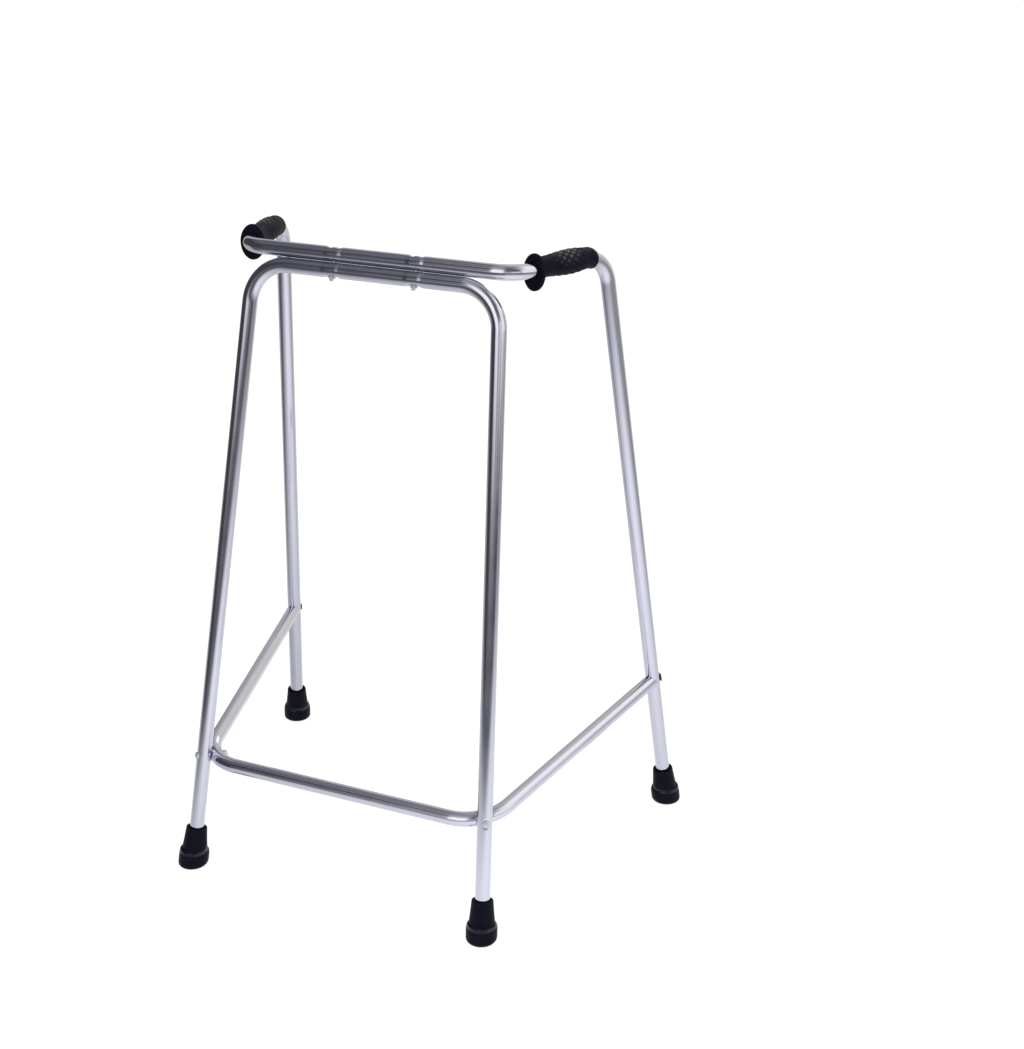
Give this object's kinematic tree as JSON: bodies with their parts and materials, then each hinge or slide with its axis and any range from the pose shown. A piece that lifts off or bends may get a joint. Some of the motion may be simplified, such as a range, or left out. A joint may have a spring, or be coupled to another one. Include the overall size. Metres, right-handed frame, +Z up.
{
  "type": "walker",
  "caption": "Rigid walking frame of bent aluminium tube with a U-shaped lower brace, moulded hand grips and rubber ferrules.",
  "frame": {"origin": "on the floor, under the middle of the frame's box", "axes": "+Z up; -Y is the closed front that faces away from the user, +Y the open back where the user stands; +X is the right-hand side seen from in front of the frame, looking along +Y"},
  "size_m": [0.644, 0.4598, 0.8234],
  "materials": {
    "aluminium_tube": "bright anodised",
    "grip_vinyl": "moulded, semi matte",
    "ferrule_rubber": "matte",
    "zinc_steel": "zinc plated",
    "plug_nylon": "moulded"
  },
  "bodies": {
    "root": {"front_frame_tube": "aluminium_tube", "handle_frame_tube": "aluminium_tube", "lower_brace_tube": "aluminium_tube", "grip_left": "grip_vinyl", "grip_right": "grip_vinyl", "ferrule_front_left": "ferrule_rubber", "ferrule_front_right": "ferrule_rubber", "ferrule_rear_left": "ferrule_rubber", "ferrule_rear_right": "ferrule_rubber", "washer_front_left": "zinc_steel", "washer_front_right": "zinc_steel", "washer_rear_left": "zinc_steel", "washer_rear_right": "zinc_steel", "top_bolt_left": "zinc_steel", "top_bolt_right": "zinc_steel", "top_nut_left": "zinc_steel", "top_nut_right": "zinc_steel", "front_bolt_left": "zinc_steel", "front_bolt_right": "zinc_steel", "front_nut_left": "zinc_steel", "front_nut_right": "zinc_steel", "rear_bolt_left": "zinc_steel", "rear_bolt_right": "zinc_steel", "brace_plug_left": "plug_nylon", "brace_plug_right": "plug_nylon", "rear_saddle_left": "plug_nylon", "rear_saddle_right": "plug_nylon"}
  },
  "joints": []
}
